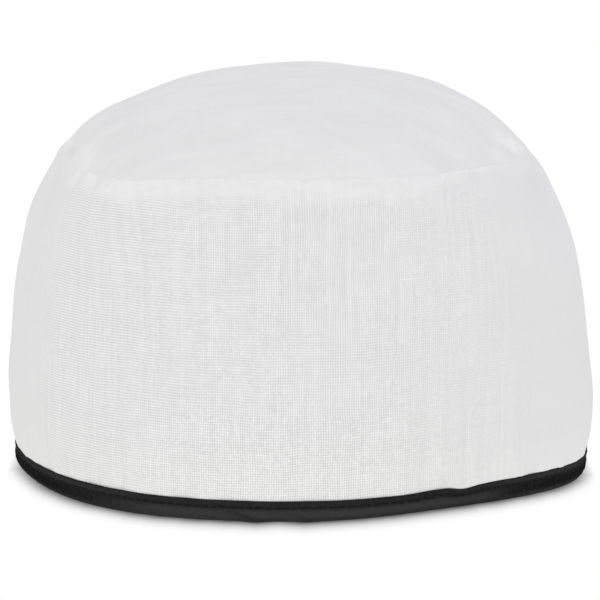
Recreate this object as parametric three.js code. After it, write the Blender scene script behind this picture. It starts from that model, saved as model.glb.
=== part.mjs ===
// A surgical cap: a tall side band, an oval domed crown panel, and a dark binding on the hem.
// Millimetres, +Z up. The front looks towards -Y and the hem stands on Z = 0.
import * as THREE from 'three';

// ---- driving dimensions ----
const STEPS_ROUND = 80; // faces round the head
const CLOTH = 1.2; // wall of the white cotton
const TAPE = 1.0; // wall of the folded hem binding
const GAP = 0.3; // clearance between sewn pieces
const DEPTH_OVER_WIDTH = 1.12; // a head is longer than it is wide
const SEAM_HEIGHT = 93; // where the side band meets the crown panel
const CROWN_RISE = 23.7; // from that seam to the top of the crown
const CROWN_LEAN = 2.8; // how far the top of the crown has settled towards +X
const CROWN_FULLNESS = 2.8; // power of the dome's curve: a higher one is flatter on top
const SEAM_ALLOWANCE = 8; // edge of the crown panel that is turned down inside the band
const ALLOWANCE_HEIGHTS = [0, 0.5, 1].map((share) => SEAM_HEIGHT - SEAM_ALLOWANCE * share);
const BINDING_HEIGHT = 6.4;
const BINDING_PROUD = 0.5; // how far the binding stands out from the band

// The band's outer face from hem to seam: half the cap's width at each height.
const BAND_PROFILE = [
  { height: 0, halfWidth: 83.3 },
  { height: 20, halfWidth: 86.2 },
  { height: 42, halfWidth: 84.8 },
  { height: 60, halfWidth: 82.3 },
  { height: 75, halfWidth: 78.1 },
  { height: 86, halfWidth: 73.4 },
  { height: SEAM_HEIGHT, halfWidth: 68.6 },
];

// Places where the soft wall bows out (or in, below zero). The bearing is in degrees round
// the cap: 0 is its right side as seen from the front, 90 the front, 180 the left, 270 the back.
// Across and tall are how far a bow reaches to each side, in degrees and in millimetres.
const BOWS = [
  { place: 'right hem corner', bearing: 20, across: 30, height: 0, tall: 45, out: 2.0 },
  { place: 'right front hem', bearing: 50, across: 32, height: 0, tall: 60, out: -2.1 },
  { place: 'left front hem', bearing: 120, across: 30, height: 0, tall: 60, out: 1.6 },
  { place: 'left hem', bearing: 165, across: 30, height: 0, tall: 60, out: -2.0 },
  { place: 'right shoulder', bearing: 5, across: 22, height: SEAM_HEIGHT, tall: 30, out: -1.6 },
  { place: 'right front shoulder', bearing: 45, across: 28, height: SEAM_HEIGHT, tall: 40, out: -2.1 },
  { place: 'left front shoulder', bearing: 130, across: 26, height: SEAM_HEIGHT, tall: 40, out: 5.5 },
  { place: 'left shoulder', bearing: 160, across: 24, height: SEAM_HEIGHT, tall: 40, out: 1.5 },
];

// Stretches of the hem that lift off the surface it stands on.
const HEM_LIFTS = [{ place: 'right front', bearing: 56, across: 40, lift: 0.8 }];

// Stretches of the crown seam that ride above or below its own height.
const SEAM_LIFTS = [
  { place: 'left side', bearing: 167, across: 50, lift: 0.8 },
  { place: 'left front', bearing: 139, across: 32, lift: -1.9 },
  { place: 'right side', bearing: 18, across: 30, lift: 0.5 },
];

// Pinched folds where the eased edge of the crown is gathered into the seam.
const PUCKERS = [
  { place: 'left corner', bearing: 160, across: 8, out: -1.4 },
  { place: 'left front corner', bearing: 146, across: 8, out: -1.0 },
  { place: 'right front corner', bearing: 33, across: 8, out: -0.7 },
  { place: 'right corner', bearing: 9, across: 9, out: -1.2 },
];
const PUCKER_TALL = 9; // how far down the band a pucker runs

// The bows above push the cap's middle this far towards +X, which is taken off again.
const SIDEWAYS_PUSH = 0.5;

// ---- shape of the cloth ----
const radians = THREE.MathUtils.degToRad;

/** 1 at the middle, easing to 0 at one reach away from it. */
function swell(offset, reach) {
  const share = Math.min(Math.abs(offset) / reach, 1);
  return 0.5 + 0.5 * Math.cos(Math.PI * share);
}

function bearingApart(a, b) {
  return ((((a - b + 180) % 360) + 360) % 360) - 180;
}

/** The wall's half width at any height, on a smooth curve through BAND_PROFILE's rows. */
function halfWidthAt(height) {
  const rows = BAND_PROFILE;
  let i = 0;
  while (i < rows.length - 2 && height > rows[i + 1].height) i++;
  const slopeAt = (k) => {
    const low = rows[Math.max(k - 1, 0)];
    const high = rows[Math.min(k + 1, rows.length - 1)];
    return (high.halfWidth - low.halfWidth) / (high.height - low.height);
  };
  const span = rows[i + 1].height - rows[i].height;
  const t = THREE.MathUtils.clamp((height - rows[i].height) / span, 0, 1);
  const startPull = slopeAt(i) * span * (t * t * t - 2 * t * t + t);
  const endPull = slopeAt(i + 1) * span * (t * t * t - t * t);
  const between = THREE.MathUtils.lerp(rows[i].halfWidth, rows[i + 1].halfWidth, t * t * (3 - 2 * t));
  return between + startPull + endPull;
}

/** The point of the band's outer face at a bearing and a height, moved in by inset. */
function bandPoint(bearing, height, inset = 0) {
  let out = 0;
  for (const bow of BOWS) {
    const near = swell(bearingApart(bearing, bow.bearing), bow.across);
    out += bow.out * near * swell(height - bow.height, bow.tall);
  }
  for (const pucker of PUCKERS) {
    const near = swell(bearingApart(bearing, pucker.bearing), pucker.across);
    out += pucker.out * near * swell(height - SEAM_HEIGHT, PUCKER_TALL);
  }
  let rise = 0;
  for (const row of HEM_LIFTS) {
    const near = swell(bearingApart(bearing, row.bearing), row.across);
    rise += row.lift * near * (1 - height / SEAM_HEIGHT);
  }
  for (const row of SEAM_LIFTS) {
    const near = swell(bearingApart(bearing, row.bearing), row.across);
    rise += row.lift * near * (height / SEAM_HEIGHT) ** 2;
  }
  const turn = radians(bearing);
  const ellipse = new THREE.Vector2(Math.cos(turn), -DEPTH_OVER_WIDTH * Math.sin(turn));
  const outward = new THREE.Vector2(DEPTH_OVER_WIDTH * Math.cos(turn), -Math.sin(turn)).normalize();
  const plan = ellipse.multiplyScalar(halfWidthAt(height)).addScaledVector(outward, out - inset);
  return new THREE.Vector3(plan.x - SIDEWAYS_PUSH, plan.y, height + rise);
}

/** How much longer a wall's level width is than its thickness, where the band leans. */
function leanAt(height) {
  return Math.hypot(1, halfWidthAt(height + 0.5) - halfWidthAt(height - 0.5));
}

/** The crown's face, or its underside. Share is 0 at the top of the crown and 1 at its seam. */
function crownPoint(bearing, share, thickness = 0) {
  const edge = bandPoint(bearing, SEAM_HEIGHT);
  const dome = CROWN_RISE * (1 - share ** CROWN_FULLNESS);
  const fall = CROWN_RISE * CROWN_FULLNESS * share ** (CROWN_FULLNESS - 1);
  const slope = fall / Math.hypot(edge.x, edge.y);
  const seamRise = (edge.z - SEAM_HEIGHT) * share;
  const down = thickness * Math.hypot(1, slope);
  const x = THREE.MathUtils.lerp(CROWN_LEAN, edge.x, share);
  return new THREE.Vector3(x, edge.y * share, SEAM_HEIGHT + GAP + seamRise + dome - down);
}

// ---- rings and solids ----
const bearings = Array.from({ length: STEPS_ROUND }, (_, i) => (360 * i) / STEPS_ROUND);

function ring(pointAt) {
  return bearings.map(pointAt);
}

/**
 * One closed body from rings that run over its surface. With poles it closes in a point at
 * both ends, and without them the last ring joins the first.
 */
function bodyFromRings(rings, poles = null) {
  const positions = [];
  const faces = [];
  for (const points of rings) for (const p of points) positions.push(p.x, p.y, p.z);
  const at = (r, i) => (r % rings.length) * STEPS_ROUND + (i % STEPS_ROUND);
  const joins = poles ? rings.length - 1 : rings.length;
  for (let r = 0; r < joins; r++) {
    for (let i = 0; i < STEPS_ROUND; i++) {
      faces.push(at(r, i), at(r + 1, i), at(r, i + 1));
      faces.push(at(r, i + 1), at(r + 1, i), at(r + 1, i + 1));
    }
  }
  if (poles) {
    const first = rings.length * STEPS_ROUND;
    for (const p of poles) positions.push(p.x, p.y, p.z);
    for (let i = 0; i < STEPS_ROUND; i++) {
      faces.push(first, at(0, i), at(0, i + 1));
      faces.push(first + 1, at(rings.length - 1, i + 1), at(rings.length - 1, i));
    }
  }
  const geometry = new THREE.BufferGeometry();
  geometry.setAttribute('position', new THREE.Float32BufferAttribute(positions, 3));
  geometry.setIndex(faces);
  geometry.computeVertexNormals();
  return geometry;
}

// ---- side band ----
function makeSideBand() {
  // Under the binding the wall is stepped in, as the folded tape squeezes it.
  const tucked = TAPE + GAP - BINDING_PROUD;
  const hemEdge = TAPE + GAP;
  const outside = [
    { height: hemEdge, inset: tucked },
    { height: BINDING_HEIGHT + GAP, inset: tucked },
    { height: BINDING_HEIGHT + GAP + 1, inset: 0 },
    ...[20, 33, 46, 58, 68, 77, 83.5, 88, SEAM_HEIGHT].map((height) => ({ height, inset: 0 })),
  ];
  const inside = [...ALLOWANCE_HEIGHTS, 78, 70, 59, 46, 28].map((height) => ({
    height,
    inset: CLOTH * leanAt(height),
  }));
  inside.push({ height: BINDING_HEIGHT + GAP + 1, inset: tucked + CLOTH });
  inside.push({ height: hemEdge, inset: tucked + CLOTH });
  const rows = [...outside, ...inside];
  return bodyFromRings(rows.map((row) => ring((b) => bandPoint(b, row.height, row.inset))));
}

// ---- crown panel ----
function makeCrownPanel() {
  const domeShares = [0.15, 0.3, 0.45, 0.58, 0.7, 0.81, 0.9, 0.96, 1];
  const underShares = [0.2, 0.4, 0.6, 0.8, 0.93];
  // The turned-down edge hangs inside the band's wall: one layer in is its outer face.
  const allowance = (height, layers, gap = GAP) => {
    const inset = layers * CLOTH * leanAt(height) + gap;
    return ring((b) => bandPoint(b, height, inset));
  };
  const [seam, middle, lowest] = ALLOWANCE_HEIGHTS;
  const lip = allowance(seam, 1, 2 * GAP);
  for (const point of lip) point.z += GAP;
  const rings = [
    ...underShares.map((share) => ring((b) => crownPoint(b, share, CLOTH))),
    allowance(middle, 2),
    allowance(lowest, 2),
    allowance(lowest, 1),
    allowance(middle, 1),
    lip,
    ...domeShares.toReversed().map((share) => ring((b) => crownPoint(b, share))),
  ];
  return bodyFromRings(rings, [crownPoint(0, 0, CLOTH), crownPoint(0, 0)]);
}

// ---- hem binding ----
function makeHemBinding() {
  const outer = -BINDING_PROUD;
  const outerLeg = outer + TAPE;
  const innerLeg = outerLeg + GAP + CLOTH + GAP;
  const inner = innerLeg + TAPE;
  const fold = 0.6; // rounding of the folded edge
  const section = [
    { height: BINDING_HEIGHT, inset: outer },
    { height: BINDING_HEIGHT, inset: outerLeg },
    { height: TAPE, inset: outerLeg },
    { height: TAPE, inset: innerLeg },
    { height: BINDING_HEIGHT, inset: innerLeg },
    { height: BINDING_HEIGHT, inset: inner },
    { height: fold, inset: inner },
    { height: 0, inset: inner - fold },
    { height: 0, inset: outer + fold },
    { height: fold, inset: outer },
  ];
  return bodyFromRings(section.map((row) => ring((b) => bandPoint(b, row.height, row.inset))));
}

// ---- the cap ----
const whiteCotton = new THREE.MeshStandardMaterial({ color: 0xefefee, roughness: 0.92, metalness: 0 });
const blackTape = new THREE.MeshStandardMaterial({ color: 0x2b2b2d, roughness: 0.8, metalness: 0 });

const cap = new THREE.Group();
const pieces = [
  { name: 'side_band', geometry: makeSideBand(), material: whiteCotton },
  { name: 'crown_panel', geometry: makeCrownPanel(), material: whiteCotton },
  { name: 'hem_binding', geometry: makeHemBinding(), material: blackTape },
];
for (const piece of pieces) {
  const mesh = new THREE.Mesh(piece.geometry, piece.material.clone());
  mesh.name = piece.name;
  cap.add(mesh);
}

export default cap;
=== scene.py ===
"""
A surgical cap standing on its hem: a tall side band and an oval crown panel of white
plain-woven cotton, and a black bias binding topstitched over the hem.

Sizes are in millimetres until a mesh is made, and the front of the cap looks towards -Y.
A bearing is in degrees round the cap: 0 is the right side as seen from the front, 90 the
front, 180 the left side and 270 the back.
"""
import math

import bpy
import numpy as np
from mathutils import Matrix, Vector


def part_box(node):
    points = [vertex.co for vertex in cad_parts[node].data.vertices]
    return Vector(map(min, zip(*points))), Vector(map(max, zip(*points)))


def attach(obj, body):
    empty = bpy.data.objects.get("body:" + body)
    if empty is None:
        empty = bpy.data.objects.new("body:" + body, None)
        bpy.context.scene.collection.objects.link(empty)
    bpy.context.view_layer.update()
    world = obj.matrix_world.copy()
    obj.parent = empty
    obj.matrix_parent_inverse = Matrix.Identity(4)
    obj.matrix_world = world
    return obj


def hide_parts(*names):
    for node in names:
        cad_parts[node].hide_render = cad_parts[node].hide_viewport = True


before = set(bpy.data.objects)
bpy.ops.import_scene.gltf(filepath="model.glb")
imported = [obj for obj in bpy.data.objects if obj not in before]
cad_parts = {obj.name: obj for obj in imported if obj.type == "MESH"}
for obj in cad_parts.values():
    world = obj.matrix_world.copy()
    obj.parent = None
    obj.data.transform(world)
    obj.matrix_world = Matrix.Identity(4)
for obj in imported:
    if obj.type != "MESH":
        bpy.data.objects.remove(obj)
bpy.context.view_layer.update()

MM = 0.001


# ---- sizes taken from the frame ----
def box_mm(node):
    """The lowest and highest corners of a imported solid, in millimetres."""
    low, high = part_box(node)
    return np.array(low) / MM, np.array(high) / MM


band_low, band_high = box_mm("side_band")
crown_high = box_mm("crown_panel")[1]
PROFILE_WIDTH = 172.0  # width of the cap that BAND_PROFILE and the seam's height are given for
FIT = (band_high[0] - band_low[0]) / PROFILE_WIDTH
DEPTH_OVER_WIDTH = 1.12  # a head is longer than it is wide

# ---- sizes of the sewing ----
CLOTH = 1.0  # wall of the white cotton
TAPE = 0.8  # wall of the folded binding
SEAM_HEIGHT = 93.0 * FIT  # where the side band meets the crown panel
CROWN_RISE = crown_high[2] - SEAM_HEIGHT
CROWN_LEAN = 2.8  # how far the top of the crown has settled towards +X
CROWN_FULLNESS = 2.8  # power of the dome's curve: a higher one is flatter on top
CROWN_RADIUS = 75.0  # roughly, from the middle of the crown to its seam
CROWN_EASE = 8.0  # last stretch of the crown, over which it comes to the band's top edge
ALLOWANCE_DROP = 1.2  # how far the crown's edge turns down behind that top edge
ALLOWANCE_ROUND = 0.98  # how much smaller round it is there

STAND = 0.28  # how far the pressed seam edges make the top of the band stand out
ROLL = 0.8  # height of the rounding of the band's folded top edge
TURN_IN = 0.26  # how far that rounding leads in to the seam
HELD_STILL = 14.0  # how far below the crown seam the band's broad waves are held down
PUCKERED = 6.0  # how far below it the cloth is puckered by its stitches

BACK_EDGE = 8.0  # half width of the pressed seam edges at the centre of the back
BACK_EDGE_SLOPE = 1.5  # over which they thin out
BACK_STAND = 0.22  # how far they make the cloth stand out
BACK_LINE = 0.75  # depth of the seam line between them
BACK_LINE_HALF = 0.9  # half of its width

BINDING_HEIGHT = 6.4
BINDING_PROUD = 0.5  # how far its outer face stands out from the band
BINDING_HALF = (2 * TAPE + CLOTH + 0.2) / 2  # half its thickness, with 0.2 of slack
BINDING_MIDDLE = BINDING_HALF - BINDING_PROUD  # how far in from the band's face it is centred
BINDING_FOLD = 1.5  # rounding of its folded lower edge
BINDING_GRIP = 0.9  # height at its top over which it squeezes the band
BAND_SQUEEZE = TAPE - BINDING_PROUD + 0.25  # how far it presses the band in

STITCH_DROP = 2.0  # from the binding's top edge down to its topstitching
STITCH_PITCH = 2.6
STITCH_HALF = 0.4 * STITCH_PITCH  # half of what shows of each stitch
THREAD_RADIUS = 0.17

SIDEWAYS_PUSH = 0.5  # what the bows below add to +X, taken off again

# Half the cap's width at each height.
BAND_PROFILE = [
    (0.0, 83.3),
    (20.0, 86.2),
    (42.0, 84.8),
    (60.0, 82.3),
    (75.0, 78.1),
    (86.0, 73.4),
    (93.0, 68.6),
]
FULL_HEIGHT = 20.0  # where the cap is widest, and the round of the cloth is measured

# Places where the wall bows out (or in, below zero): bearing and reach in degrees, then
# height, reach and out in mm.
BOWS = [
    # place, bearing, across, height, tall, out
    ("right hem corner", 20, 30, 0, 45, 2.0),
    ("right front hem", 50, 32, 0, 60, -2.1),
    ("left front hem", 120, 30, 0, 60, 1.6),
    ("left hem", 165, 30, 0, 60, -2.0),
    ("left side at the hem", 178, 26, 0, 14, 0.7),
    ("right side at the hem", 2, 26, 0, 14, -0.7),
    ("right shoulder", 5, 22, 93, 30, -1.6),
    ("right front shoulder", 45, 28, 93, 40, -2.1),
    ("left front shoulder", 130, 26, 93, 40, 5.5),
    ("left shoulder", 160, 24, 93, 40, 1.5),
]

HEM_LIFTS = [("right front", 56, 40, 0.8)]  # place, bearing, across, lift

SEAM_LIFTS = [
    # place, bearing, across, lift
    ("left side", 167, 50, 0.8),
    ("left front", 139, 32, -1.9),
    ("right side", 18, 30, 0.5),
]

# Small tucks where the fuller edge of the crown is eased into the band. At its own bearing
# the seam dips sharply, and it climbs back across the degrees towards the front, or away from
# it below zero.
TUCKS = [
    # place, bearing, across, dip
    ("left corner", 153.5, 5.0, 0.7),
    ("left front corner", 150.0, 9.4, 1.9),
    ("left front", 140.0, 7.8, 1.6),
    ("left front edge", 131.8, 7.6, 0.6),
    ("right corner", 28.0, -7.0, 0.5),
]
TUCK_TALL = 8.0  # how far from the seam a tuck is felt
TUCK_STEEP = 3.0  # degrees across its sharp side
TUCK_HOLLOW = 1.6  # power of its slow side: a higher one climbs back sooner

# Puffs (out above zero) and hollows of the band near its top: down is the distance from the
# crown seam to the middle, and tall the reach from there, in mm.
BAND_PUFFS = [
    # place, bearing, across, down, tall, out
    ("pinch at the left corner", 154.5, 3.0, 2.5, 3.5, -1.0),
    ("first left tuck", 144.5, 4.6, 3.4, 4.0, 0.75),
    ("second left tuck", 136.0, 3.8, 3.0, 3.4, 0.55),
    ("third left tuck", 128.5, 4.0, 2.6, 3.0, 0.25),
    ("hollow of the left corner", 160.0, 9.0, 20.0, 20.0, -0.9),
    ("hollow of the right corner", 21.0, 15.0, 11.0, 12.0, -1.2),
    ("left side at the seam", 172.0, 40.0, 0.0, 5.0, 0.6),
    ("left side", 178.0, 40.0, 22.0, 14.0, 0.7),
    ("right side at the seam", 4.0, 26.0, 0.0, 6.0, -1.1),
    ("left side above the binding", 178.0, 30.0, 85.0, 9.0, 0.8),
]

# The same on the crown: up is the distance inwards from its seam.
CROWN_PUFFS = [
    # place, bearing, across, up, tall, out
    ("roll of the right corner", 17.0, 10.0, 6.0, 8.0, 1.1),
    ("crease of the right corner", 28.0, 7.0, 9.0, 7.0, -0.5),
    ("right shoulder", 2.0, 40.0, 15.0, 14.0, 0.6),
    ("roll of the left corner", 158.0, 7.0, 4.0, 4.0, 0.5),
    ("left shoulder", 176.0, 46.0, 12.5, 21.0, 1.6),
    ("first left tuck", 145.0, 4.0, 4.0, 3.5, -0.4),
    ("second left tuck", 136.0, 3.5, 4.0, 3.0, -0.3),
]

# How the band's cotton is drawn round the cap. Its weave is drawn strongest in front; on the
# left the round threads are drawn as ridges, in the middle as sunk below the upright ones, and
# at the sides the weave is drawn faint. The collar is the strip along the crown seam that the
# pressed edges behind it whiten, width mm deep. Its strength round the cap is also a painted
# highlight, strongest in front and gone at the sides.
BAND_LOOK = [
    # bearing, pores, ridges, collar, width
    (0, 0.08, 0.0, 0.0, 1.5),
    (20, 0.05, 0.0, 0.3, 1.5),
    (28, 0.06, 0.0, 0.6, 1.5),
    (39, 0.12, -0.1, 0.85, 1.6),
    (50, 0.36, -0.1, 0.9, 2.0),
    (62, 0.55, -0.35, 1.0, 5.5),
    (75, 0.85, -0.4, 1.0, 6.5),
    (95, 1.0, -0.3, 1.0, 6.5),
    (110, 0.9, -0.25, 1.1, 6.5),
    (120, 0.6, 0.45, 1.1, 6.3),
    (130, 0.45, 1.05, 1.1, 6.0),
    (143, 0.4, 1.05, 0.9, 5.0),
    (149, 0.15, 0.3, 0.7, 5.0),
    (155, 0.08, 0.05, 0.4, 5.0),
    (163, 0.08, 0.0, 0.0, 5.0),
    (270, 0.7, 0.0, 0.8, 6.5),
    (360, 0.08, 0.0, 0.0, 1.5),
]
COLLAR_PORES = 0.20  # how much of its pores the collar keeps
CROWN_WEAVE = 0.12  # the crown's weave is drawn faint all over

# Painted highlights (above zero) and painted shade (below zero) on the band and on the crown:
# lit rolls and tuck lenses, shaded hollows, pinches and sides of tucks, and lighter strips
# along the seam and above the binding.
BAND_PAINTED_LIGHT = [
    # place, bearing, across, down, tall, amount
    ("line under the right corner", 22.0, 10.0, 3.0, 1.6, 0.8),
    ("hollow of the right corner", 21.0, 16.0, 10.0, 14.0, -0.6),
    ("hollow of the left corner", 160.0, 7.0, 14.0, 18.0, -0.4),
    ("left front corner", 152.0, 4.0, 3.0, 6.0, 0.6),
    ("beside the first left tuck", 149.0, 2.5, 3.0, 5.0, -0.9),
    ("first left tuck", 144.0, 4.5, 1.8, 3.0, 0.5),
    ("beside the second left tuck", 139.5, 2.5, 2.5, 4.0, -1.0),
    ("second left tuck", 132.0, 5.0, 1.8, 3.0, 0.4),
    ("above the binding", 90.0, 190.0, 89.0, 18.0, 0.55),
]
CROWN_PAINTED_LIGHT = [
    # place, bearing, across, up, tall, amount
    ("roll of the right corner", 24.0, 7.0, 7.5, 4.5, 0.7),
    ("middle of that roll", 18.0, 8.0, 4.0, 4.5, 2.1),
    ("end of that roll", 8.0, 9.0, 2.0, 4.0, 1.8),
    ("fold beside that roll", 31.0, 4.0, 3.0, 5.0, 0.7),
    ("roll of the left corner", 171.0, 8.0, 3.0, 3.0, 1.3),
    ("pinch of the left corner", 160.0, 3.0, 2.0, 2.6, -1.4),
    ("left front corner", 152.0, 10.0, 3.0, 6.0, 0.8),
    ("left shoulder", 160.0, 32.0, 22.0, 14.0, -0.4),
    ("front edge", 95.0, 60.0, 5.0, 16.0, 0.25),
    ("along the front seam", 92.0, 78.0, 0.0, 6.5, 0.45),
]


# ---- shape of the cloth ----
def swell(offset, reach):
    """1 at the middle, easing to 0 at one reach away from it."""
    return 0.5 + 0.5 * np.cos(np.pi * np.minimum(np.abs(offset) / reach, 1))


def smooth(value, start, end):
    """0 before start, easing to 1 at end."""
    t = np.clip((value - start) / (end - start), 0, 1)
    return t * t * (3 - 2 * t)


def apart(bearing, other):
    """Degrees from one bearing to another, the short way round."""
    return (bearing - other + 180) % 360 - 180


def half_width(height):
    """The wall's half width at any height, on a smooth curve through BAND_PROFILE's rows."""
    heights, widths = np.array(BAND_PROFILE).T * FIT
    last = len(heights) - 1
    slopes = np.zeros(last + 1)
    for k in range(last + 1):
        low, high = max(k - 1, 0), min(k + 1, last)
        slopes[k] = (widths[high] - widths[low]) / (heights[high] - heights[low])
    i = np.clip(np.searchsorted(heights, height, side="right") - 1, 0, last - 1)
    span = heights[i + 1] - heights[i]
    t = np.clip((height - heights[i]) / span, 0, 1)
    ease = t * t * (3 - 2 * t)
    start_pull = slopes[i] * span * (t**3 - 2 * t**2 + t)
    end_pull = slopes[i + 1] * span * (t**3 - t**2)
    return widths[i] + (widths[i + 1] - widths[i]) * ease + start_pull + end_pull


def rows_near(rows, bearing):
    """The sum of each row's last column, faded by how near the bearing is to that row."""
    total = np.zeros_like(bearing)
    for _place, middle, across, amount in rows:
        total += amount * swell(apart(bearing, middle), across)
    return total


def puffs(rows, bearing, from_seam):
    """The sum of each row's last column near its own place, in a table of puffs."""
    total = np.zeros_like(bearing)
    for _place, middle, across, down, tall, out in rows:
        total += out * swell(apart(bearing, middle), across) * swell(from_seam - down, tall)
    return total


def tuck_dip(bearing):
    """How far the crown seam dips at its tucks: steeply on one side and slowly on the other."""
    total = np.zeros_like(bearing)
    for _place, middle, across, dip in TUCKS:
        along = apart(middle, bearing) / across
        slow = np.clip(1 - along, 0, 1) ** TUCK_HOLLOW * (along >= 0)
        steep = swell(np.minimum(along, 0) * across, TUCK_STEEP) * (along < 0)
        total += dip * (slow + steep)
    return total


def band_point(bearing, height, inset=0.0):
    """Points of the band's outer face at bearings and heights, moved in by inset."""
    bearing, height = np.broadcast_arrays(np.asarray(bearing, float), np.asarray(height, float))
    out = np.zeros_like(bearing)
    for _place, middle, across, level, tall, amount in BOWS:
        out = out + amount * swell(apart(bearing, middle), across) * swell(height - level, tall)
    share = height / SEAM_HEIGHT
    rise = rows_near(HEM_LIFTS, bearing) * (1 - share) + rows_near(SEAM_LIFTS, bearing) * share**2
    rise = rise - tuck_dip(bearing) * smooth(height, SEAM_HEIGHT - TUCK_TALL, SEAM_HEIGHT)
    turn = np.radians(bearing)
    width = half_width(height)
    away = out - inset
    length = np.hypot(DEPTH_OVER_WIDTH * np.cos(turn), np.sin(turn))
    x = width * np.cos(turn) + away * DEPTH_OVER_WIDTH * np.cos(turn) / length
    y = -width * DEPTH_OVER_WIDTH * np.sin(turn) - away * np.sin(turn) / length
    return np.stack([x - SIDEWAYS_PUSH, y, height + rise], -1)


def crown_point(bearing, share):
    """Points of the crown's face. Share is 0 at the top of the crown and 1 at its seam."""
    bearing, share = np.broadcast_arrays(np.asarray(bearing, float), np.asarray(share, float))
    edge = band_point(bearing, SEAM_HEIGHT)
    dome = CROWN_RISE * (1 - share**CROWN_FULLNESS)
    dip = tuck_dip(bearing)
    level = (edge[..., 2] + dip - SEAM_HEIGHT) * share
    near = smooth(share, 1 - TUCK_TALL / CROWN_RADIUS, 1)
    x = CROWN_LEAN + (edge[..., 0] - CROWN_LEAN) * share
    return np.stack([x, edge[..., 1] * share, SEAM_HEIGHT + level + dome - dip * near], -1)


class Ripples:
    """
    Soft uneven waves in cloth: a sum of sines as long as shortest to longest. Their phases are
    random, and their directions lie within spread degrees of turn. Out is how far they stand.
    """

    def __init__(self, seed, shortest, longest, out, count=14, turn=0.0, spread=180.0):
        rng = np.random.default_rng(seed)
        self.lengths = shortest * (longest / shortest) ** rng.random(count)
        self.turns = np.radians(turn + spread * (2 * rng.random(count) - 1))
        self.phases = rng.random(count) * 2 * np.pi
        self.out = out

    def at(self, u, v):
        """How far the waves stand at places on the cloth."""
        total = 0
        for length, turn, phase in zip(self.lengths, self.turns, self.phases):
            along = u * math.cos(turn) + v * math.sin(turn)
            total = total + np.sin(2 * np.pi * along / length + phase)
        return self.out * total / math.sqrt(len(self.lengths))


# The waves of each cloth: seed, shortest, longest and out.
BAND_WAVES = Ripples(3, 26, 90, 0.16)
BAND_CREASES = Ripples(7, 9, 22, 0.10, count=10, turn=0, spread=14)
SEAM_PUCKERS = Ripples(11, 5, 12, 0.07, count=9)
COLLAR_EDGE = Ripples(31, 5, 26, 0.7, count=12)
COLLAR_PATCHES = Ripples(37, 3.5, 14, 0.22, count=14)
CROWN_WAVES = Ripples(5, 24, 80, 0.22)
CROWN_CREASES = Ripples(17, 9, 20, 0.14, count=9, turn=90, spread=16)
TAPE_CREASES = Ripples(23, 4, 13, 0.07, count=12, turn=-35, spread=14)
TAPE_WAVES = Ripples(29, 2.5, 7, 0.04, count=12)


def normals_of(points):
    """Outward normals of a grid of points, rows down the cloth and columns round the cap."""
    down = np.gradient(points, axis=0)
    wrapped = np.concatenate([points[:, -1:], points, points[:, :1]], axis=1)
    around = (wrapped[:, 2:] - wrapped[:, :-2]) / 2
    normal = np.cross(around, down)
    return normal / np.maximum(np.linalg.norm(normal, axis=-1, keepdims=True), 1e-9)


def lengths_down(points):
    """How far each row lies down the cloth from the first one."""
    steps = np.linalg.norm(np.diff(points, axis=0), axis=-1)
    return np.concatenate([np.zeros((1, points.shape[1])), np.cumsum(steps, axis=0)])


def round_length(points):
    """Distance round a ring from its first point, with the full round as its last value."""
    steps = np.linalg.norm(np.roll(points, -1, axis=0) - points, axis=-1)
    return np.concatenate([[0], np.cumsum(steps)])


# Points round every ring of a piece, and where each lies round the strip that makes the band.
AROUND = 640
BEARINGS = 360 * np.arange(AROUND) / AROUND
WHOLE_TURN = np.append(BEARINGS, 360)
HEM_ROUND = round_length(band_point(BEARINGS, FULL_HEIGHT))


def along_hem(bearing, height):
    """
    Where round the hem the upright thread through each point starts. In front the threads stand
    straight up, and the corners and sides take in the fullness.
    """
    lean = half_width(height) / half_width(FULL_HEIGHT)
    straight = np.degrees(np.arccos(np.clip(np.cos(np.radians(bearing)) * lean, -1, 1)))
    front = smooth(np.abs(bearing - 90), 75, 35)
    return np.interp(bearing + front * (straight - bearing), WHOLE_TURN, HEM_ROUND)


def cloth_uv(bearing, height, rows_down):
    """
    Places on a strip that runs round the cap: how far round the hem, and the given way down.
    One more column than the points have closes the round.
    """
    u = along_hem(bearing, height)
    u = np.concatenate([u, np.full((len(u), 1), HEM_ROUND[-1])], axis=1)
    v = np.concatenate([rows_down, rows_down[:, :1]], axis=1)
    return np.stack([u, v], -1)


# ---- meshes ----
def new_piece(name, mesh):
    """An object for the mesh, linked into the scene."""
    piece = bpy.data.objects.new(name, mesh)
    bpy.context.scene.collection.objects.link(piece)
    return piece


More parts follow.
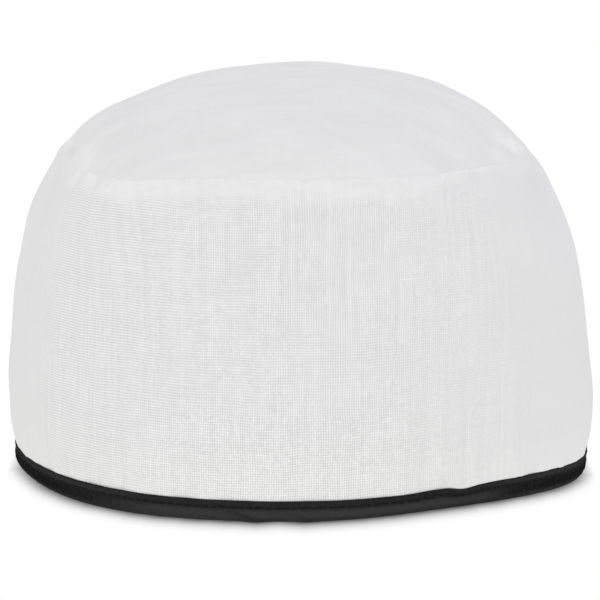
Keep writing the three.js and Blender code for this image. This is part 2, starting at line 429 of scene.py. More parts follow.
def cloth_mesh(name, rings, uv, look, poles=None):
    """
    One closed body from rings that run over its surface. With poles, each a point and its
    place on the cloth, it closes in a point at both ends, and without them the last ring joins
    the first. uv holds each point's place on the cloth in millimetres, with one more column
    than the rings for the end of the round, and look three values for its material: pores,
    ridges, and the collar's whiteness with painted highlights and shade for cotton, and the
    tape's painted highlights and shade in the first one for the tape.
    ridges and whiter for cotton, and grey in the first one for the tape.
    """
    count, steps = rings.shape[:2]
    points = [rings.reshape(-1, 3)]
    joins = count - 1 if poles else count
    i, r = np.meshgrid(np.arange(steps), np.arange(joins))
    r2, i2 = (r + 1) % count, (i + 1) % steps
    quads = np.stack([r * steps + i, r2 * steps + i, r2 * steps + i2, r * steps + i2], -1)
    quad_uv = np.stack([uv[r, i], uv[r2, i], uv[r2, i + 1], uv[r, i + 1]], -2)
    faces = quads.reshape(-1, 4).tolist()
    corners = [quad_uv.reshape(-1, 2)]
    if poles:
        first = count * steps
        points.append(np.array([point for point, _place in poles]))
        last_ring = (count - 1) * steps
        for k in range(steps):
            n = (k + 1) % steps
            faces.append((first, k, n))
            faces.append((first + 1, last_ring + n, last_ring + k))
            corners.append([poles[0][1], uv[0, k], uv[0, k + 1]])
            corners.append([poles[1][1], uv[-1, k + 1], uv[-1, k]])
    mesh = bpy.data.meshes.new(name)
    mesh.from_pydata((np.concatenate(points) * MM).tolist(), [], faces)
    layer = mesh.uv_layers.new(name="cloth_mm")
    layer.data.foreach_set("uv", np.concatenate(corners).astype(np.float32).ravel())
    values = np.zeros((len(mesh.vertices), 3), np.float32)
    values[: count * steps] = np.broadcast_to(look, rings.shape).reshape(-1, 3)
    values[count * steps :] = values[0]
    looks = mesh.attributes.new("look", "FLOAT_VECTOR", "POINT")
    looks.data.foreach_set("vector", values.ravel())
    mesh.polygons.foreach_set("use_smooth", [True] * len(mesh.polygons))
    mesh.update()
    return new_piece(name, mesh)


# ---- the side band ----
def band_heights():
    """
    Heights of the band's rows, from its top edge down to its raw edge inside the binding. They
    lie closer where the binding squeezes the band, below the seam and round the rolled top.
    """
    squeezed = BINDING_HEIGHT - BINDING_GRIP
    roll = np.radians([25, 50, 72, 90])
    return np.concatenate([
        [1.2, 3.0, 4.4, squeezed - 0.5],
        np.linspace(squeezed, squeezed + 1.4, 6),
        np.linspace(squeezed + 2.5, SEAM_HEIGHT - 13, 50),
        np.linspace(SEAM_HEIGHT - 12, SEAM_HEIGHT - ROLL, 22),
        SEAM_HEIGHT - ROLL * (1 - np.sin(roll)),
    ])[::-1]


def back_seam(bearing):
    """How far the seam at the centre of the back pushes the cloth out, or in at its line."""
    across = apart(bearing, 270) * HEM_ROUND[-1] / 360
    edges = BACK_STAND * smooth(np.abs(across), BACK_EDGE, BACK_EDGE - BACK_EDGE_SLOPE)
    return edges - BACK_LINE * np.exp(-((across / BACK_LINE_HALF) ** 2))


def make_band():
    """
    The side band, with the ring of points at its top that the crown is sewn to. Its top edge is
    folded in and stands out over the pressed seam edges, its ends meet in a seam at the centre
    of the back, and its hem is squeezed by the binding.
    """
    heights = band_heights()
    wall = band_point(BEARINGS[None], heights[:, None])
    normals = normals_of(wall)
    v = lengths_down(wall)
    level = heights[:, None] + 0 * v
    bearing = BEARINGS[None] + 0 * v
    # the round threads keep level with the hem, so they are counted from there
    place = cloth_uv(bearing, level, v - v[-1] + v[-1].mean())
    u = place[:, :-1, 0]

    # how strongly the collar is drawn round the cap is partly painted highlight
    turns, *columns = np.array(BAND_LOOK).T
    pores, ridges, collar, width = [np.interp(bearing, turns, column) for column in columns]
    push = STAND * smooth(v, width + 2.0, width - 1.0) + puffs(BAND_PUFFS, bearing, v)
    push = push + BAND_WAVES.at(u, v) * smooth(v, 0, HELD_STILL)
    push = push + BAND_CREASES.at(u, v) * smooth(v, 4, 30)
    push = push + SEAM_PUCKERS.at(u, 0.15 * v) * np.exp(-v / PUCKERED)
    push = push + back_seam(bearing) * smooth(v, 0.5, 3.0)
    tape_top = binding_height(bearing)
    push = push - BAND_SQUEEZE * smooth(level, tape_top - 0.1, tape_top - BINDING_GRIP)
    # where there is no collar the folded edge isn't pressed, and lies flush with the crown
    roll = np.clip((level - (SEAM_HEIGHT - ROLL)) / ROLL, 0, 1)
    rounding = 1 - np.sqrt(np.maximum(1 - roll**2, 0))
    push = push - TURN_IN * np.minimum(collar, 1) * rounding
    outer = wall + normals * push[..., None]
    # the inside needs half as many rows, and starts below the rolled edge
    inner_rows = slice(5, None, 2)
    inner = (outer - normals * CLOTH)[inner_rows]
    rings = np.concatenate([outer, inner[::-1]])
    uv = np.concatenate([place, place[inner_rows][::-1]])

    # the pressed edges behind the collar end unevenly, and show through it in patches
    width = width + COLLAR_EDGE.at(u, 0.3 * v)
    pressed = collar * smooth(v, width + 2.6, width - 2.0)
    pressed = pressed * (1 + COLLAR_PATCHES.at(u, 1.5 * v))
    kept = 1 - (1 - COLLAR_PORES) * np.clip(pressed, 0, 1)
    # the painted highlights and painted shade of the band are added to the collar's whiteness
    collar_and_painted_light = pressed + puffs(BAND_PAINTED_LIGHT, bearing, v)
    look = np.stack([pores * kept, ridges * kept, collar_and_painted_light], -1)
    look = np.concatenate([look, look[inner_rows][::-1]])
    return cloth_mesh("band_cloth", rings, uv, look), outer[0]


# ---- the crown panel ----
def make_crown(rim):
    """
    The crown panel: an oval dome, sewn along its edge to the rim, the top ring of the band, with
    its allowance turned down behind it.
    """
    # the rings lie closer near the seam, where the tucks and rolls are
    shares = np.concatenate([
        np.linspace(0.03, 0.86, 40),
        np.linspace(0.87, 0.9995, 24),
        [1.0],
    ])
    dome = crown_point(BEARINGS[None], shares[:, None])
    normals = normals_of(dome)
    x, y = dome[..., 0] - CROWN_LEAN, dome[..., 1]
    reach = lengths_down(dome) + np.hypot(x, y)[:1]
    turn = np.arctan2(y, x)
    u, v = reach * np.cos(turn), reach * np.sin(turn)
    place = np.stack([u, v], -1)
    place = np.concatenate([place, place[:, :1]], axis=1)

    from_seam = reach[-1:] - reach
    bearing = BEARINGS[None] + 0 * u
    # the crown's own waves fade out where the seam holds it
    calm = smooth(from_seam, 0, 12)
    push = puffs(CROWN_PUFFS, bearing, from_seam) * smooth(from_seam, 0, CROWN_EASE)
    push = push + CROWN_WAVES.at(u, v) * calm
    push = push + CROWN_CREASES.at(u, v) * calm
    outer = dome + normals * push[..., None]
    outer = outer + (rim - outer[-1]) * smooth(from_seam, CROWN_EASE, 0)[..., None]
    # the crown's third value holds only its painted highlights and painted shade
    look = np.stack([CROWN_WEAVE + 0 * u, 0 * u, puffs(CROWN_PAINTED_LIGHT, bearing, from_seam)], -1)

    allowance = rim * (ALLOWANCE_ROUND, ALLOWANCE_ROUND, 1) - (0, 0, ALLOWANCE_DROP)
    outer = np.concatenate([outer, allowance[None]])
    normals, place, look = [np.concatenate([rows, rows[-1:]]) for rows in (normals, place, look)]
    under = outer - normals * CLOTH
    top = np.array([CROWN_LEAN, 0, outer[0, :, 2].mean()])
    poles = ((top, np.zeros(2)), (top - (0, 0, CLOTH), np.zeros(2)))
    rings, uv, look = [
        np.concatenate([above, below[::-1]])
        for above, below in ((outer, under), (place, place), (look, look))
    ]
    return cloth_mesh("crown_cloth", rings, uv, look, poles)


# ---- the binding ----
# Wrinkles of the binding's belly: bearing at 1 mm up, reach in degrees, how far it slants in
# degrees for each millimetre up, and out in mm.
TAPE_WRINKLES = [
    # place, bearing, across, slant, out
    ("front fold", 97.4, 2.4, 2.5, -0.75),
    ("bulge under the front fold", 100.6, 2.6, 2.5, 0.65),
    ("second front fold", 87.4, 2.2, 2.2, -0.45),
    ("bulge under the second front fold", 89.8, 2.2, 2.2, 0.40),
    ("left front fold", 118.0, 1.6, 1.0, -0.16),
    ("right front fold", 56.0, 2.2, -0.6, -0.25),
]

# Where the top edge of the binding runs higher or lower than its own height.
TAPE_EDGE_WAVES = [
    # place, bearing, across, rise
    ("right front bump", 62.5, 7.0, 0.35),
    ("right front step", 56.0, 4.5, -0.6),
    ("right side", 32.0, 20.0, 0.3),
    ("left side", 146.0, 34.0, 0.25),
]

# Where the folded lower edge is a little off the floor, and its bulges sag back down.
TAPE_LIFTS = [
    # place, bearing, across, rise
    ("front", 93.0, 40.0, 0.35),
    ("right front", 64.0, 24.0, 0.5),
    ("front bulge", 98.5, 4.0, -0.35),
    ("second front bulge", 88.0, 3.5, -0.25),
]

# How grey the black tape is painted round the cap, 0 to 1. This is painted light: a painted
# highlight on its belly at the front and on the lip above the stitching towards the sides, and
# painted shade in the groove.
TAPE_PAINTED_LIGHT = [
    # bearing, fold, belly, groove, lip
    (0, 0.60, 0.10, 0.25, 0.65),
    (34, 0.65, 0.05, 0.25, 0.75),
    (43, 0.45, 0.15, 0.25, 0.60),
    (50, 0.40, 0.75, 0.30, 0.45),
    (65, 0.55, 1.00, 0.32, 0.32),
    (90, 0.62, 1.05, 0.38, 0.45),
    (115, 0.80, 0.95, 0.32, 0.45),
    (123, 0.60, 0.70, 0.32, 0.50),
    (133, 0.45, 0.20, 0.28, 0.65),
    (150, 0.55, 0.05, 0.22, 0.70),
    (180, 0.50, 0.15, 0.20, 0.60),
    (270, 0.45, 0.45, 0.25, 0.50),
    (360, 0.60, 0.10, 0.25, 0.65),
]
# Which of those four is painted at each height of the tape. Its very edge takes the groove's
# painted shade.
TAPE_ZONES = [
    # height, zone
    (0.0, "fold"),
    (1.1, "fold"),
    (2.0, "belly"),
    (3.3, "belly"),
    (4.3, "groove"),
    (5.0, "lip"),
    (5.9, "lip"),
    (6.4, "groove"),
]

GROOVE_DEPTH = 0.42  # of the groove that the stitches pull into the tape
GROOVE_HALF = 0.55
BELLY_OUT = 0.36  # how far the tape swells out below the groove
BELLY_HEIGHT = 2.3
BELLY_REACH = 2.6
CREASED_HEIGHT = 1.6  # where the wrinkles are deepest
CREASED_REACH = 3.0
EDGE_SINK = 0.22  # how far the tape's top edge leans in to the band
MOUTH = 1.5  # how far down the tape is open between its two edges
LAP_BEARING = 274  # where one end of the tape laps over the other
LAP_SLANT = 0.35  # how far that end leans, in degrees for each millimetre up
LAP_LONG = 13.0  # degrees round to where the lap has thinned out again
LAP_OUT = 0.45  # how far the end on top stands out


def binding_height(bearing):
    """Height of the binding's top edge."""
    return BINDING_HEIGHT + rows_near(TAPE_EDGE_WAVES, bearing)


def tape_painted_grey(bearing, height):
    """How grey the tape is painted at each of its points: painted highlights and shade."""
    turns, *columns = np.array(TAPE_PAINTED_LIGHT).T
    shades = dict(zip(("fold", "belly", "groove", "lip"), columns))
    heights = [level for level, _zone in TAPE_ZONES]
    grey = np.zeros_like(bearing)
    for (_level, zone), only_here in zip(TAPE_ZONES, np.eye(len(TAPE_ZONES))):
        grey += np.interp(bearing, turns, shades[zone]) * np.interp(height, heights, only_here)
    return grey


def tape_section():
    """
    The tape's section, as heights and how far each point is outwards of its middle: down the
    outer face, round the fold, up the inner face, and down and up again inside its mouth.
    """
    section = []
    for height in np.linspace(BINDING_HEIGHT, BINDING_FOLD, 26):
        section.append((height, BINDING_HALF))
    for turn in np.radians(np.linspace(12, 168, 13)):
        height = BINDING_FOLD - BINDING_FOLD * math.sin(turn)
        section.append((height, BINDING_HALF * math.cos(turn)))
    for height in np.linspace(BINDING_FOLD, BINDING_HEIGHT, 14):
        section.append((height, -BINDING_HALF))
    for side, height in (
        (-1, BINDING_HEIGHT),
        (-1, BINDING_HEIGHT - MOUTH),
        (1, BINDING_HEIGHT - MOUTH),
        (1, BINDING_HEIGHT),
    ):
        section.append((height, side * (BINDING_HALF - TAPE)))
    return np.array(section)


def make_binding():
    """The bias tape folded over the hem, with its stitched groove, belly and wrinkles."""
    section = tape_section()
    steps = np.hypot(*np.diff(section, axis=0).T)
    down = np.concatenate([[0], np.cumsum(steps)])[:, None] + 0 * BEARINGS
    height, across = section[:, :1] + 0 * BEARINGS, section[:, 1:] + 0 * BEARINGS
    bearing = BEARINGS[None] + 0 * height
    place = cloth_uv(bearing, height, down)
    u = place[:, :-1, 0]

    # the groove is deepest in the middle of each stitch
    groove = BINDING_HEIGHT - STITCH_DROP
    pulled = 0.8 + 0.2 * np.cos(2 * np.pi * u / STITCH_PITCH)
    push = BELLY_OUT * swell(height - BELLY_HEIGHT, BELLY_REACH)
    push = push - GROOVE_DEPTH * pulled * np.exp(-(((height - groove) / GROOVE_HALF) ** 2))
    push = push - EDGE_SINK * smooth(height, BINDING_HEIGHT - BINDING_GRIP, BINDING_HEIGHT)
    creased = swell(height - CREASED_HEIGHT, CREASED_REACH)
    for _place, middle, reach, slant, out in TAPE_WRINKLES:
        push = push + out * creased * swell(apart(bearing, middle + slant * (height - 1)), reach)
    push = push + TAPE_CREASES.at(u, height) * creased
    push = push + TAPE_WAVES.at(u, 2 * height)
    past_end = apart(bearing, LAP_BEARING + LAP_SLANT * height)
    lap = smooth(past_end, 0.6, 0.0) * smooth(past_end, -LAP_LONG, 3 - LAP_LONG)
    push = push + LAP_OUT * lap

    # the two faces are pushed out, each on its own side, and the mouth stays where it is
    face = np.sign(across) * (np.abs(across) > BINDING_HALF - TAPE + 0.05)
    across = across + face * push
    level = height * binding_height(bearing) / BINDING_HEIGHT
    level = level + rows_near(TAPE_LIFTS, bearing) * smooth(height, 4.0, 0.0)
    rings = band_point(bearing, level, BINDING_MIDDLE - across)
    # the tape's painted highlights and painted shade
    look = np.stack([tape_painted_grey(bearing, height), 0 * height, 0 * height], -1)
    return cloth_mesh("bias_tape", rings, place, look)


STITCH_WANDER = 0.08  # how far a stitch strays from the line of stitching
STITCH_SLANT = 0.07  # how far its ends lie below and above its middle
STITCH_SINK = 0.17  # how far in from the tape's own face the middle of a stitch lies
STITCH_DIVE = 0.30  # how much further in its ends are, down in the tape


def make_stitches():
    """The topstitching on both faces of the binding: short rounded lengths of thread."""
    count = round(HEM_ROUND[-1] / STITCH_PITCH)
    sides, lengthwise = 6, 7
    share = np.linspace(-1, 1, lengthwise)
    middles = (np.arange(count)[:, None] + 0.5) * HEM_ROUND[-1] / count
    bearing = np.interp(middles + share * STITCH_HALF, HEM_ROUND, WHOLE_TURN)
    radius = THREAD_RADIUS * np.sqrt(1 - 0.85 * share**6)[:, None]
    rng = np.random.default_rng(41)
    points, faces = [], []
    made = 0
    for outward in (1, -1):
        stray = STITCH_WANDER * rng.standard_normal((count, 1))
        height = binding_height(bearing) - (STITCH_DROP + stray + STITCH_SLANT * share)
        proud = BINDING_HALF - STITCH_SINK - STITCH_DIVE * share**4
        inset = BINDING_MIDDLE - outward * proud
        middle = band_point(bearing, height, inset)
        out = band_point(bearing, height, inset - outward) - middle
        up = np.array([0.0, 0.0, 1.0]) + 0 * out
        rings = []
        for turn in 2 * np.pi * np.arange(sides) / sides:
            rings.append(middle + radius * (math.cos(turn) * out + math.sin(turn) * up))
        rings = np.stack(rings, 2)
        numbers = made + np.arange(rings[..., 0].size).reshape(count, lengthwise, sides)
        made += numbers.size
        points.append(rings.reshape(-1, 3))
        beside = np.roll(numbers, -1, axis=2)
        quads = [numbers[:, :-1], beside[:, :-1], beside[:, 1:], numbers[:, 1:]]
        quads = np.stack(quads, -1).reshape(-1, 4)
        ends = np.concatenate([numbers[:, 0, ::-1], numbers[:, -1]])
        faces += quads[:, ::outward].tolist() + ends[:, ::outward].tolist()
    mesh = bpy.data.meshes.new("topstitching")
    mesh.from_pydata((np.concatenate(points) * MM).tolist(), [], faces)
    mesh.polygons.foreach_set("use_smooth", [True] * len(mesh.polygons))
    mesh.update()
    return new_piece("topstitching", mesh)


# ---- materials ----
def linear(code):
    """A colour given as an sRGB hex code, turned to linear, with full alpha."""
    parts = [int(code[i:i + 2], 16) / 255 for i in (1, 3, 5)]
    return [p / 12.92 if p <= 0.04045 else ((p + 0.055) / 1.055) ** 2.4 for p in parts] + [1.0]


def add(tree, kind, inputs=(), **settings):
    """Adds a node with its settings. Each input takes a node, a socket of one, or a value."""
    node = tree.nodes.new(kind)
    for name, value in settings.items():
        setattr(node, name, value)
    for name, source in inputs:
        if isinstance(source, bpy.types.Node):
            source = source.outputs[0]
        if isinstance(source, bpy.types.NodeSocket):
            tree.links.new(source, node.inputs[name])
        else:
            node.inputs[name].default_value = source
    return node


def new_material(name):
    """A material, its nodes and the shader among them."""
    material = bpy.data.materials.new(name)
    material.use_nodes = True
    tree = material.node_tree
    return material, tree, tree.nodes["Principled BSDF"]


COTTON = "#dfdfdf"
THREADS_UP = 0.65  # spacing of the threads that run up and down, 15 or so to the centimetre
THREADS_ROUND = 0.74  # and of those that run round the cap
STRAY = 1.1  # how far a thread wanders from a straight line
STRAY_LENGTH = 11.111  # and over what length
UPRIGHT_SLUB = 52.857  # length of a thick or thin stretch of the threads that run up
ROUND_SLUB = 26.0  # and of those that run round
NEXT_UPRIGHT = 0.55  # how unlike the slubs of the next upright thread are: 1 is quite unlike
NEXT_ROUND = 0.8  # and those of the next one round
PRESSED_LONG = 32.5  # size round the cap of the soft marks that pressing leaves
PRESSED_TALL = 10.571  # and up it
WEAVE_RELIEF = 0.08  # how far the threads stand up

# The share of its light that each cause of light and dark in the white cotton takes away.
PORES = 0.40
RIDGES = 0.12
SPECKS = 0.11
# the last lifts the collar and the painted highlights, and the painted shade takes light away
COLLAR_AND_PAINTED_LIGHT_LIFT = 0.055


def white_cotton(name, slubs_up, slubs_round, pressing):
    """
    Bleached cotton in plain weave: quite matt, with small dark pores where the threads cross,
    and threads of uneven thickness, which draw faint streaks along them. The third value of the
    look attribute whitens the collar, and adds painted highlights and painted shade. The last
    three values are the share of its light that slubs and pressing take away.
    """
    material, tree, shader = new_material(name)
    place = add(tree, "ShaderNodeUVMap", uv_map="cloth_mm")
    look = add(tree, "ShaderNodeAttribute", attribute_name="look")
    look = add(tree, "ShaderNodeSeparateXYZ", [(0, look.outputs["Vector"])])
    pores, ridges, collar_and_painted_light = (look.outputs[axis] for axis in ("X", "Y", "Z"))
    # threads wander a little from a straight line
    drift = [("Vector", place), ("Scale", 1 / STRAY_LENGTH), ("Detail", 1.0)]
    drift = add(tree, "ShaderNodeTexNoise", drift)
    wander = [(0, drift.outputs["Color"]), (1, (STRAY, STRAY, 0)), (2, place)]
    wander = add(tree, "ShaderNodeVectorMath", wander, operation="MULTIPLY_ADD")
    spacing = (THREADS_UP, THREADS_ROUND, 1)
    threads = add(tree, "ShaderNodeVectorMath", [(0, wander), (1, spacing)], operation="DIVIDE")
    count = add(tree, "ShaderNodeSeparateXYZ", [(0, threads)])

    # a gap is 1 between two threads and 0 on the middle of one, and a pore is where two meet
    gaps = []
    for axis in ("X", "Y"):
        turn = [(0, count.outputs[axis]), (1, math.pi)]
        turn = add(tree, "ShaderNodeMath", turn, operation="MULTIPLY")
        wave = add(tree, "ShaderNodeMath", [(0, turn)], operation="COSINE")
        gaps.append(add(tree, "ShaderNodeMath", [(0, wave), (1, wave)], operation="MULTIPLY"))
    pore = add(tree, "ShaderNodeMath", [(0, gaps[0]), (1, gaps[1])], operation="MULTIPLY")
    crossing = add(tree, "ShaderNodeVectorMath", [(0, threads)], operation="FLOOR")
    chance = add(tree, "ShaderNodeTexWhiteNoise", [("Vector", crossing)], noise_dimensions="2D")

    # slubs keep to their own thread, where they change slowly, and the next thread has others,
    # and pressing leaves wide soft marks
    number = add(tree, "ShaderNodeSeparateXYZ", [(0, crossing)])
    streaks = []
    for x, y, scale_x, scale_y in (
        (number.outputs["X"], count.outputs["Y"], NEXT_UPRIGHT, THREADS_ROUND / UPRIGHT_SLUB),
        (count.outputs["X"], number.outputs["Y"], THREADS_UP / ROUND_SLUB, NEXT_ROUND),
        (
            count.outputs["X"],
            count.outputs["Y"],
            THREADS_UP / PRESSED_LONG,
            THREADS_ROUND / PRESSED_TALL,
        ),
    ):
        streak = add(tree, "ShaderNodeCombineXYZ", [("X", x), ("Y", y)])
        streak = [("Vector", streak), ("Scale", (scale_x, scale_y, 1))]
        streak = add(tree, "ShaderNodeMapping", streak)
        streak = [("Vector", streak), ("Scale", 1.0), ("Detail", 3.0), ("Roughness", 0.7)]
        streaks.append(add(tree, "ShaderNodeTexNoise", streak, noise_dimensions="2D"))

    # slubs show wherever the weave does; each cause takes light away about its own mean
    weave = [(0, pores), (1, 3.0)]
    weave = add(tree, "ShaderNodeMath", weave, operation="MULTIPLY", use_clamp=True)
    dark = 0.0
    for cause, mean, amount, where in (
        (pore, 0.25, PORES, pores),
        (gaps[1], 0.5, RIDGES, ridges),
        (chance, 0.5, SPECKS, pores),
        (streaks[0], 0.5, slubs_up, weave),
        (streaks[1], 0.5, slubs_round, weave),
        (streaks[2], 0.5, pressing, 1.0),
        # the collar's whiteness, with the painted highlights and painted shade
        (collar_and_painted_light, 0.0, -COLLAR_AND_PAINTED_LIGHT_LIFT, 1.0),
    ):
        share = add(tree, "ShaderNodeMath", [(0, cause), (1, mean)], operation="SUBTRACT")
        share = add(tree, "ShaderNodeMath", [(0, share), (1, where)], operation="MULTIPLY")
        dark = [(0, share), (1, amount), (2, dark)]
        dark = add(tree, "ShaderNodeMath", dark, operation="MULTIPLY_ADD")
    tone = add(tree, "ShaderNodeMath", [(0, 1.0), (1, dark)], operation="SUBTRACT")
    colour = [(0, tone), (1, linear(COTTON)[:3])]
    colour = add(tree, "ShaderNodeVectorMath", colour, operation="MULTIPLY")
    tree.links.new(colour.outputs[0], shader.inputs["Base Color"])
    bump = [("Height", tone), ("Strength", 0.25), ("Distance", WEAVE_RELIEF * MM)]
    bump = add(tree, "ShaderNodeBump", bump)
    tree.links.new(bump.outputs[0], shader.inputs["Normal"])
    shader.inputs["Roughness"].default_value = 0.95
    shader.inputs["IOR"].default_value = 1.45
    shader.inputs["Specular IOR Level"].default_value = 0.0
    return material


TAPE_BLACK = "#171718"
TAPE_LINT_AND_HIGHLIGHT_GREY = "#373738"
TAPE_THREADS = 0.9  # spacing of its threads: they are really 0.3, too fine to tell apart
LINT = 1.25  # size of its specks of lint
LINT_SHOWS = 1.3
TAPE_WEAVE_SHOWS = 0.08


def black_tape():
    """
    Black cotton bias tape: its threads cross at 45 degrees to the hem and are drawn as coarse
    as they need to show, as a faint slanting grain, with a little grey lint. Its painted
    highlights and painted shade make it greyer in places.
    """
    material, tree, shader = new_material("black_cotton_bias_tape")
    place = add(tree, "ShaderNodeUVMap", uv_map="cloth_mm")
    look = add(tree, "ShaderNodeAttribute", attribute_name="look")
    look = add(tree, "ShaderNodeSeparateXYZ", [(0, look.outputs["Vector"])])
    bias = [("Vector", place), ("Rotation", (0, 0, math.radians(45)))]
    bias = add(tree, "ShaderNodeMapping", bias)
    axes = add(tree, "ShaderNodeSeparateXYZ", [(0, bias)])
    waves = []
    for axis in ("X", "Y"):
        turn = [(0, axes.outputs[axis]), (1, 2 * math.pi / TAPE_THREADS)]
        turn = add(tree, "ShaderNodeMath", turn, operation="MULTIPLY")
        waves.append(add(tree, "ShaderNodeMath", [(0, turn)], operation="SINE"))
    weave = add(tree, "ShaderNodeMath", [(0, waves[0]), (1, waves[1])], operation="MULTIPLY")
    lint = [("Vector", place), ("Scale", 1 / LINT), ("Detail", 5.0), ("Roughness", 0.75)]
    lint = add(tree, "ShaderNodeTexNoise", lint)
    lint = add(tree, "ShaderNodeMath", [(0, lint), (1, 0.5)], operation="SUBTRACT")
    # lint, and the painted highlights and shade from the look attribute, grey the tape
    grey = [(0, lint), (1, LINT_SHOWS), (2, look)]
    grey = add(tree, "ShaderNodeMath", grey, operation="MULTIPLY_ADD")
    grey = [(0, weave), (1, TAPE_WEAVE_SHOWS), (2, grey)]
    grey = add(tree, "ShaderNodeMath", grey, operation="MULTIPLY_ADD", use_clamp=True)
    colour = [(0, grey), (6, linear(TAPE_BLACK)), (7, linear(TAPE_LINT_AND_HIGHLIGHT_GREY))]
    colour = add(tree, "ShaderNodeMix", colour, data_type="RGBA")
    tree.links.new(colour.outputs[2], shader.inputs["Base Color"])
    bump = [("Height", grey), ("Strength", 0.3), ("Distance", WEAVE_RELIEF * MM)]
    bump = add(tree, "ShaderNodeBump", bump)
    tree.links.new(bump.outputs[0], shader.inputs["Normal"])
    shader.inputs["Roughness"].default_value = 0.9
    shader.inputs["IOR"].default_value = 1.45
    shader.inputs["Specular IOR Level"].default_value = 0.0
    return material


THREAD_DARK = "#0c0c0d"
THREAD_LIGHT = "#242426"
THREAD_TWIST = 0.4  # size of the light and dark that its twist gives it


def black_thread():
    """Spun polyester thread: smoother than the tape, so each stitch has a small soft shine."""
    material, tree, shader = new_material("black_sewing_thread")
    spot = add(tree, "ShaderNodeTexCoord").outputs["Object"]
    twist = [("Vector", spot), ("Scale", 1 / (THREAD_TWIST * MM)), ("Detail", 1.0)]
    twist = add(tree, "ShaderNodeTexNoise", twist)
    colour = [(0, twist), (6, linear(THREAD_DARK)), (7, linear(THREAD_LIGHT))]
    colour = add(tree, "ShaderNodeMix", colour, data_type="RGBA")
    tree.links.new(colour.outputs[2], shader.inputs["Base Color"])
    shader.inputs["Roughness"].default_value = 0.6
    shader.inputs["IOR"].default_value = 1.45
    shader.inputs["Specular IOR Level"].default_value = 0.1
    return material


# ---- the cap ----
band, rim = make_band()
crown = make_crown(rim)
binding = make_binding()
stitches = make_stitches()
band_cotton = white_cotton(
    "white_plain_weave_band", slubs_up=0.15, slubs_round=0.05, pressing=0.05
)
crown_cotton = white_cotton(
    "white_plain_weave_crown", slubs_up=0.06, slubs_round=0.10, pressing=0.13
)
for piece, node, slot, material in (
    (band, "side_band", "white_cotton", band_cotton),
    (crown, "crown_panel", "white_cotton", crown_cotton),
    (binding, "hem_binding", "black_tape", black_tape()),
    (stitches, None, "black_tape", black_thread()),
):
    piece.data.materials.append(material)
    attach(piece, "root")
    if node:
        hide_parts(node)


# ---- floor, light and camera ----
SHADOW = [
    # distance in front of the hem, and how bright the floor looks there
    (0, 0.10),
    (2.3, 0.30),
    (5.2, 0.55),
    (8, 0.72),
    (10.5, 0.85),
    (13, 0.92),
    (16, 0.98),
    (20, 1.0),
]
SHADOW_BACK = 4.8  # how much further in light reaches for each millimetre that the hem is up
SHADOW_STEP = 2.0  # spacing of the points that hold the shadow
SHADOW_REACH = 150.0
FLOOR_WIDE = 3000.0
FLOOR_DROP = 0.3  # the wide floor lies this far below the patch with the shadow
FLOOR_BOUNCE = "#fffffc"  # light that the floor throws back up


def white_sweep():
    """A seamless white ground: it looks white but for the shadow, and lights the cap evenly."""
    material, tree, _shader = new_material("white_sweep")
    tree.nodes.clear()
    shade = add(tree, "ShaderNodeAttribute", attribute_name="shade").outputs["Fac"]
    seen = add(tree, "ShaderNodeLightPath").outputs["Is Camera Ray"]
    glow = [(0, seen), (6, linear(FLOOR_BOUNCE)), (7, shade)]
    glow = add(tree, "ShaderNodeMix", glow, data_type="RGBA").outputs[2]
    glow = add(tree, "ShaderNodeEmission", [("Color", glow)])
    add(tree, "ShaderNodeOutputMaterial", [("Surface", glow)])
    return material


def add_floor(name, points, faces, shade, z, material):
    """A flat piece of the floor at height z, with its brightness at each point."""
    mesh = bpy.data.meshes.new(name)
    corners = np.concatenate([points, np.full((len(points), 1), z)], axis=1) * MM
    mesh.from_pydata(corners.tolist(), [], faces)
    mesh.attributes.new("shade", "FLOAT", "POINT").data.foreach_set("value", shade)
    mesh.materials.append(material)
    new_piece(name, mesh)


def floor_shadow(line):
    """
    The soft shadow of the hem over a square of points, 0 to 1, which is only for the eye. It is
    cast straight towards the front, and line holds the places of the points along each side.
    """
    x, y = np.meshgrid(line, line)
    hem = band_point(BEARINGS, 0.0, -BINDING_PROUD)
    lifts = rows_near(HEM_LIFTS, BEARINGS) + rows_near(TAPE_LIFTS, BEARINGS)
    hem[:, 1] += SHADOW_BACK * lifts
    hem = hem[np.argsort(hem[:, 0])]
    front = np.interp(x, *hem[hem[:, 1] < 0][:, :2].T, left=1e3, right=1e3)
    back = np.interp(x, *hem[hem[:, 1] > 0][:, :2].T, left=-1e3, right=-1e3)
    under = ((y > front) & (y < back)).astype(float)
    away, bright = np.array(SHADOW).T
    shadow = np.zeros_like(under)
    for k in range(int(away[-1] / SHADOW_STEP)):
        near, far = np.interp([k * SHADOW_STEP, (k + 1) * SHADOW_STEP], away, bright)
        shadow[: len(line) - k] += (far - near) * under[k:]
    return (shadow + np.roll(shadow, 1, axis=1) + np.roll(shadow, -1, axis=1)) / 3


def make_floor():
    """A white floor without end, and a patch of it by the hem that holds the shadow."""
    sweep = white_sweep()
    line = np.arange(-SHADOW_REACH, SHADOW_REACH + SHADOW_STEP, SHADOW_STEP)
    n = len(line)
    points = np.stack(np.meshgrid(line, line), -1).reshape(-1, 2)
    i, r = np.meshgrid(np.arange(n - 1), np.arange(n - 1))
    first = (r * n + i).ravel()
    faces = np.stack([first, first + 1, first + n + 1, first + n], -1).tolist()
    add_floor("floor_by_the_hem", points, faces, 1 - floor_shadow(line).ravel(), 0.0, sweep)
    corners = FLOOR_WIDE * np.array([(-1, -1), (1, -1), (1, 1), (-1, 1)])
    add_floor("floor", corners, [(0, 1, 2, 3)], np.ones(4), -FLOOR_DROP, sweep)


SKY_FILL = "#fcfcfe"  # even light from all round, a little cool
BACKDROP = "#ffffff"

# Large soft lights. The second one is faint, and cools the far right of the cap.
LIGHTS = [
    # name, degrees round from the front to the right, elevation, strength, colour
    ("front_softbox", -10, 35, 0.20, "#ffffff"),
    ("cool_light_at_the_right", 128, 4, 0.16, "#8484ff"),
]
LIGHT_WIDE = 60.0  # degrees across that each looks from the cap


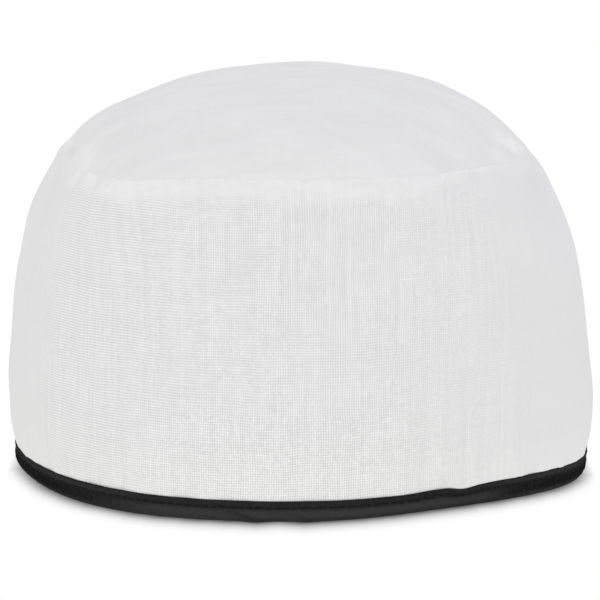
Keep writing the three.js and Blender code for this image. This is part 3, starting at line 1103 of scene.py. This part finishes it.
def towards(round_, elevation):
    """A direction, from degrees round from the front to the right and degrees up."""
    turn, up = math.radians(round_), math.radians(elevation)
    level = math.cos(up)
    return Vector((math.sin(turn) * level, -math.cos(turn) * level, math.sin(up)))


def make_light():
    """An even white surround, and the large soft lights in it."""
    world = bpy.data.worlds.new("light_tent")
    bpy.context.scene.world = world
    world.use_nodes = True
    tree = world.node_tree
    seen = add(tree, "ShaderNodeLightPath").outputs["Is Camera Ray"]
    white = [(0, seen), (6, linear(SKY_FILL)), (7, linear(BACKDROP))]
    white = add(tree, "ShaderNodeMix", white, data_type="RGBA").outputs[2]
    tree.links.new(white, tree.nodes["Background"].inputs["Color"])
    for name, round_, elevation, strength, colour in LIGHTS:
        lamp = bpy.data.lights.new(name, "SUN")
        lamp.energy = strength
        lamp.color = linear(colour)[:3]
        lamp.angle = math.radians(LIGHT_WIDE)
        seat = bpy.data.objects.new(name, lamp)
        seat.rotation_euler = towards(round_, elevation).to_track_quat("Z", "Y").to_euler()
        bpy.context.scene.collection.objects.link(seat)


CAMERA_AWAY = 1200.0  # from a point in the middle of the cap
CAMERA_ELEVATION = 8.0
CAP_MIDDLE = Vector((0, 0, 60))
CAMERA_AIM = Vector((-0.1, 0, 48.03))
SEEN_WIDTH = 177.0  # what the view takes in at that distance
SENSOR_WIDTH = 36.0


def make_camera():
    """The camera stands in front of the cap and looks slightly down at it."""
    eye = (CAP_MIDDLE + towards(0, CAMERA_ELEVATION) * CAMERA_AWAY) * MM
    camera = bpy.data.cameras.new("camera")
    camera.lens = SENSOR_WIDTH * CAMERA_AWAY / SEEN_WIDTH
    camera.sensor_width = SENSOR_WIDTH
    camera.clip_end = 20
    seat = bpy.data.objects.new("camera", camera)
    seat.location = eye
    seat.rotation_euler = (CAMERA_AIM * MM - eye).to_track_quat("-Z", "Y").to_euler()
    bpy.context.scene.collection.objects.link(seat)
    bpy.context.scene.camera = seat


make_floor()
make_light()
make_camera()
bpy.context.scene.view_settings.view_transform = "Standard"
